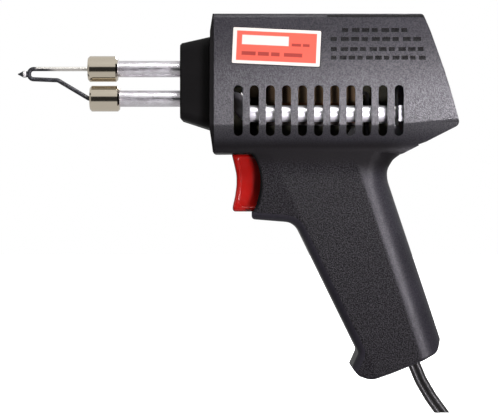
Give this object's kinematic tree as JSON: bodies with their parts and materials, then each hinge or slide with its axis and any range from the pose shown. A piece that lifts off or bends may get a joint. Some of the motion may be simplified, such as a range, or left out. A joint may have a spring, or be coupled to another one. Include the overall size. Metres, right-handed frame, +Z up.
{
  "type": "soldering gun",
  "caption": "Pistol-grip transformer soldering gun with a vented black housing, red trigger, plated conductor tubes and a bent wire tip.",
  "frame": {"origin": "centre of the overall bounding box, on the parting plane between the two housing shells", "axes": "-X along the conductor tubes towards the soldering tip, +Z up from the handle to the top of the housing, +Y towards the side with the housing screws"},
  "size_m": [0.209, 0.05, 0.1892],
  "materials": {
    "housing": "moulded black plastic, satin on the flat sides and fine stipple on the handle",
    "nose": "heat-resistant black moulding, dull",
    "screw_steel": "zinc-plated screw",
    "label": "printed orange-red label with a pale border, no lettering",
    "core_steel": "stacked silicon-steel laminations, varnished",
    "bobbin": "dark phenolic",
    "enamelled_wire": "enamelled copper magnet wire, varnished",
    "coil_tape": "varnished cloth tape",
    "fish_paper": "dark olive-grey vulcanised fibre",
    "bright_steel": "bright mild steel",
    "plated_tube": "tin-plated copper tube, satin",
    "nickel": "warm nickel plate, turned",
    "tinned_wire": "tinned copper wire, oxidised by heat at the bend",
    "trigger_red": "deep red semi-gloss moulding",
    "spring_steel": "spring wire",
    "switch_case": "black phenolic moulding",
    "plunger": "natural nylon",
    "contact_brass": "stamped brass strip",
    "cord": "black flexible twin cord jacket",
    "lead_black": "black PVC insulation",
    "lead_white": "white PVC insulation",
    "sleeve": "woven insulating sleeve"
  },
  "bodies": {
    "housing": {"clamp_screws": "screw_steel", "coil_bobbin": "bobbin", "contact_pin": "bright_steel", "cord_clamp": "switch_case", "cord_jacket": "cord", "core_bolts": "screw_steel", "core_bracket": "bright_steel", "core_i_stack": "core_steel", "core_liner": "fish_paper", "core_u_stack": "core_steel", "crimp_sleeve": "sleeve", "face_label": "label", "left_shell": "housing", "line_lead": "lead_black", "lower_collar": "nickel", "neutral_lead": "lead_white", "nose_cap": "nose", "phase_barrier": "fish_paper", "primary_winding": "enamelled_wire", "right_shell": "housing", "rod_spacer": "fish_paper", "secondary_loop": "plated_tube", "shell_screws": "screw_steel", "switch_case": "switch_case", "switch_contacts": "contact_brass", "switch_cover": "switch_case", "switch_lead": "lead_black", "trigger_spring": "spring_steel", "upper_collar": "nickel", "winding_tape": "coil_tape", "window_barrier": "fish_paper"},
    "trigger": {"trigger": "trigger_red"},
    "plunger": {"switch_plunger": "plunger"},
    "contact": {"contact_arm": "contact_brass"},
    "upper_screw": {"upper_set_screw": "screw_steel"},
    "lower_screw": {"lower_set_screw": "screw_steel"},
    "tip": {"soldering_tip": "tinned_wire"}
  },
  "joints": [
    {"name": "trigger_pull", "type": "slide", "parent": "housing", "child": "trigger", "axis": [1, 0, 0], "range_m": [0, 0.0045], "stiffness_N_per_m": 1000, "springref_m": -0.004, "deforming": ["trigger_spring"]},
    {"name": "plunger_slide", "type": "slide", "parent": "housing", "child": "plunger", "axis": [1, 0, 0], "range_m": [0, 0.0045]},
    {"name": "contact_swing", "type": "hinge", "parent": "housing", "child": "contact", "pos_m": [0.0451, 0, 0.00788], "axis": [0, 1, 0], "range_deg": [0, 22.6]},
    {"name": "upper_screw_turn", "type": "hinge", "parent": "housing", "child": "upper_screw", "pos_m": [-0.0669, 0.003, 0.07028], "axis": [0, 1, 0], "range_deg": [0, 360]},
    {"name": "lower_screw_turn", "type": "hinge", "parent": "housing", "child": "lower_screw", "pos_m": [-0.066, 0.003, 0.05608], "axis": [0, 1, 0], "range_deg": [0, 360]},
    {"name": "tip_pull", "type": "slide", "parent": "housing", "child": "tip", "axis": [-1, 0, 0], "range_m": [0, 0.03]}
  ],
  "couplings": [
    {"joint": "plunger_slide", "follows": "trigger_pull", "ratio": 1},
    {"joint": "contact_swing", "follows": "trigger_pull", "rad_per_m": 87.654}
  ]
}
